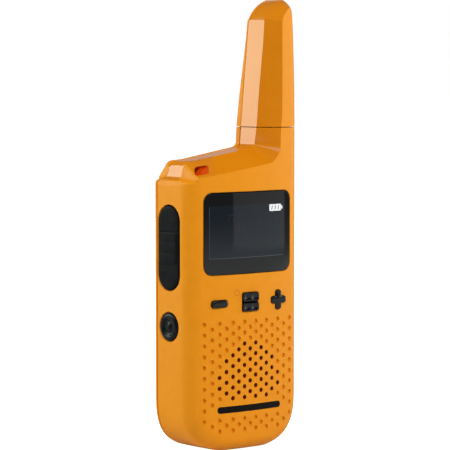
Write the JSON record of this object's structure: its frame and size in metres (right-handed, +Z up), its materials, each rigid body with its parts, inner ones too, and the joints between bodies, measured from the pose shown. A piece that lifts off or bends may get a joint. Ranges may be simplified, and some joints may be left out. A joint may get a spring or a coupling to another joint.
{
  "type": "two-way radio",
  "caption": "Pocket two-way radio with a shoulder antenna, display, front and side keys, speaker grille, battery bay and a sprung belt clip.",
  "frame": {"origin": "middle of the flat foot under the case, midway between the front keys and the belt clip", "axes": "+X to the viewer's right when the display faces the viewer, +Y from the display to the belt clip, +Z up towards the antenna tip"},
  "size_m": [0.0568, 0.0345, 0.1712],
  "materials": {
    "orange_shell": "fine grain on the front and sides, smooth gloss on the shoulder and antenna bevels",
    "window": "black tinted, high gloss",
    "keys": "black rubber, satin",
    "gaskets": "black rubber, matte",
    "black_plastic": "black, matte",
    "lcd": "grey display glass",
    "backlight": "white light guide",
    "boards": "green circuit board",
    "plungers": "grey",
    "steel": "plated steel",
    "copper": "bare copper alloy",
    "speaker_paper": "black paper and cloth",
    "cells": "printed film over a metal can, no lettering"
  },
  "bodies": {
    "radio": {"front_housing": "orange_shell", "rear_housing": "orange_shell", "antenna_sleeve": "orange_shell", "display_window": "window", "window_gasket": "gaskets", "keypad_membrane": "gaskets", "microphone_boot": "gaskets", "speaker_gasket": "gaskets", "case_seal": "gaskets", "antenna_former": "black_plastic", "antenna_base": "black_plastic", "display_frame": "black_plastic", "radio_chip": "black_plastic", "ptt_switch": "black_plastic", "call_switch": "black_plastic", "battery_tray": "black_plastic", "earphone_socket": "black_plastic", "display_panel": "lcd", "backlight_panel": "backlight", "main_board": "boards", "side_board": "boards", "shield_can": "steel", "microphone": "steel", "speaker_frame": "steel", "speaker_magnet": "steel", "contact_spring_1": "steel", "contact_spring_2": "steel", "contact_spring_3": "steel", "contact_plate_1": "steel", "contact_plate_2": "steel", "contact_plate_3": "steel", "charging_socket": "steel", "case_screw_1": "steel", "case_screw_2": "steel", "case_screw_3": "steel", "case_screw_4": "steel", "antenna_coil": "copper", "antenna_contact": "copper", "speaker_cone": "speaker_paper", "grille_mesh": "speaker_paper", "battery_cell_1": "cells", "battery_cell_2": "cells", "battery_cell_3": "cells"},
    "ptt": {"ptt_key": "keys", "ptt_plunger": "plungers"},
    "call": {"call_key": "keys", "call_plunger": "plungers"},
    "minus": {"minus_key": "keys"},
    "plus": {"plus_key": "keys"},
    "upper": {"upper_key": "keys"},
    "lower": {"lower_key": "keys"},
    "cover": {"port_cover": "keys"},
    "door": {"battery_door": "orange_shell"},
    "bracket": {"clip_bracket": "black_plastic", "clip_pin": "steel", "clip_spring": "steel"},
    "clip": {"belt_clip": "black_plastic"}
  },
  "joints": [
    {"name": "ptt_press", "type": "slide", "parent": "radio", "child": "ptt", "axis": [1, 0, 0], "range_m": [0, 0.0007], "stiffness_N_per_m": 2500, "springref_m": -0.0004},
    {"name": "call_press", "type": "slide", "parent": "radio", "child": "call", "axis": [1, 0, 0], "range_m": [0, 0.0007], "stiffness_N_per_m": 2000, "springref_m": -0.0004},
    {"name": "minus_press", "type": "slide", "parent": "radio", "child": "minus", "axis": [0, 1, 0], "range_m": [0, 0.0005], "stiffness_N_per_m": 2000, "springref_m": -0.0004},
    {"name": "plus_press", "type": "slide", "parent": "radio", "child": "plus", "axis": [0, 1, 0], "range_m": [0, 0.0005], "stiffness_N_per_m": 2000, "springref_m": -0.0004},
    {"name": "upper_press", "type": "slide", "parent": "radio", "child": "upper", "axis": [0, 1, 0], "range_m": [0, 0.0005], "stiffness_N_per_m": 2000, "springref_m": -0.0004},
    {"name": "lower_press", "type": "slide", "parent": "radio", "child": "lower", "axis": [0, 1, 0], "range_m": [0, 0.0005], "stiffness_N_per_m": 2000, "springref_m": -0.0004},
    {"name": "cover_open", "type": "hinge", "parent": "radio", "child": "cover", "pos_m": [0.0279, 0.0013, 0.08], "axis": [0, 0, 1], "range_deg": [0, 70]},
    {"name": "door_slide", "type": "slide", "parent": "radio", "child": "door", "axis": [0, 0, -1], "range_m": [0, 0.012]},
    {"name": "bracket_slide", "type": "slide", "parent": "radio", "child": "bracket", "axis": [0, 0, 1], "range_m": [0, 0.015]},
    {"name": "clip_swing", "type": "hinge", "parent": "bracket", "child": "clip", "pos_m": [0, 0.014, 0.097], "axis": [1, 0, 0], "range_deg": [0, 15], "stiffness_Nm_per_rad": 0.3, "springref_deg": -8.59}
  ]
}
